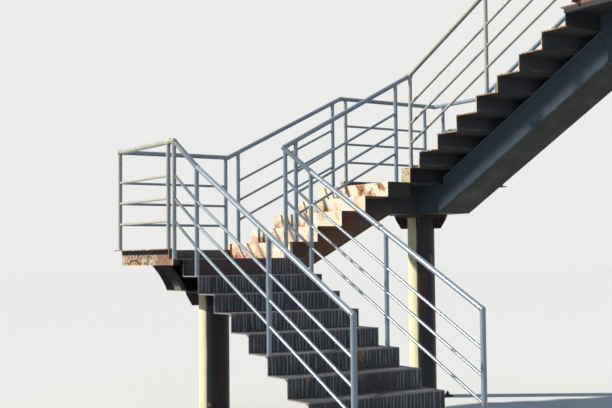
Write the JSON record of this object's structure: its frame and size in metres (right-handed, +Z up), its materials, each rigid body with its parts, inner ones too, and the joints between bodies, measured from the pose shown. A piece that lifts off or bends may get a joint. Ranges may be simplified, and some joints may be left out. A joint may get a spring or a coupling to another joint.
{
  "type": "fire escape stair tower",
  "caption": "Weathered steel fire escape: folded-plate steps on central box stringers, quarter-turn landings on round columns, tube railings.",
  "frame": {"origin": "centre of the base of column 1 at ground level", "axes": "+Z up, +Y the way the lowest flight climbs, +X the way the middle flight climbs"},
  "size_m": [4.291, 4.89, 4.942],
  "materials": {
    "step_plate_a": "old dark paint over brown steel, rust at the edges",
    "step_plate_b": "old cream paint with orange-brown rust patches",
    "step_plate_c": "dark matt paint",
    "stringer_a_steel": "dark blue-grey paint, weathered",
    "stringer_b_steel": "dark paint turned red-brown with rust",
    "stringer_c_steel": "dark blue-grey paint, semi-gloss",
    "deck_steel": "dark paint with rust at the edges",
    "kerb_paint": "old cream paint with rust",
    "column_steel": "dark grey paint, weathered",
    "rail_paint": "light blue-grey paint, chipped at the welds"
  },
  "bodies": {
    "root": {"step_a1": "step_plate_a", "step_a2": "step_plate_a", "step_a3": "step_plate_a", "step_a4": "step_plate_a", "step_a5": "step_plate_a", "step_a6": "step_plate_a", "step_a7": "step_plate_a", "step_a8": "step_plate_a", "step_a9": "step_plate_a", "step_b1": "step_plate_b", "step_b2": "step_plate_b", "step_b3": "step_plate_b", "step_b4": "step_plate_b", "step_c1": "step_plate_c", "step_c2": "step_plate_c", "step_c3": "step_plate_c", "step_c4": "step_plate_c", "step_c5": "step_plate_c", "step_c6": "step_plate_c", "step_c7": "step_plate_c", "step_c8": "step_plate_c", "stringer_a": "stringer_a_steel", "stringer_b": "stringer_b_steel", "stringer_c": "stringer_c_steel", "deck_1": "deck_steel", "deck_2": "deck_steel", "deck_3": "deck_steel", "kerb_1": "kerb_paint", "kerb_2": "kerb_paint", "kerb_3_left": "kerb_paint", "kerb_3_right": "kerb_paint", "column_1": "column_steel", "column_2": "column_steel", "column_3": "column_steel", "head_1": "column_steel", "head_2": "column_steel", "head_3": "column_steel", "rail_a_left": "rail_paint", "rail_a_right": "rail_paint", "rail_1_left": "rail_paint", "rail_1_far": "rail_paint", "rail_b_near": "rail_paint", "rail_b_far": "rail_paint", "rail_2_far": "rail_paint", "rail_2_right": "rail_paint", "rail_c_near": "rail_paint", "rail_c_far": "rail_paint", "rail_3_left": "rail_paint", "rail_3_right": "rail_paint"}
  },
  "joints": []
}
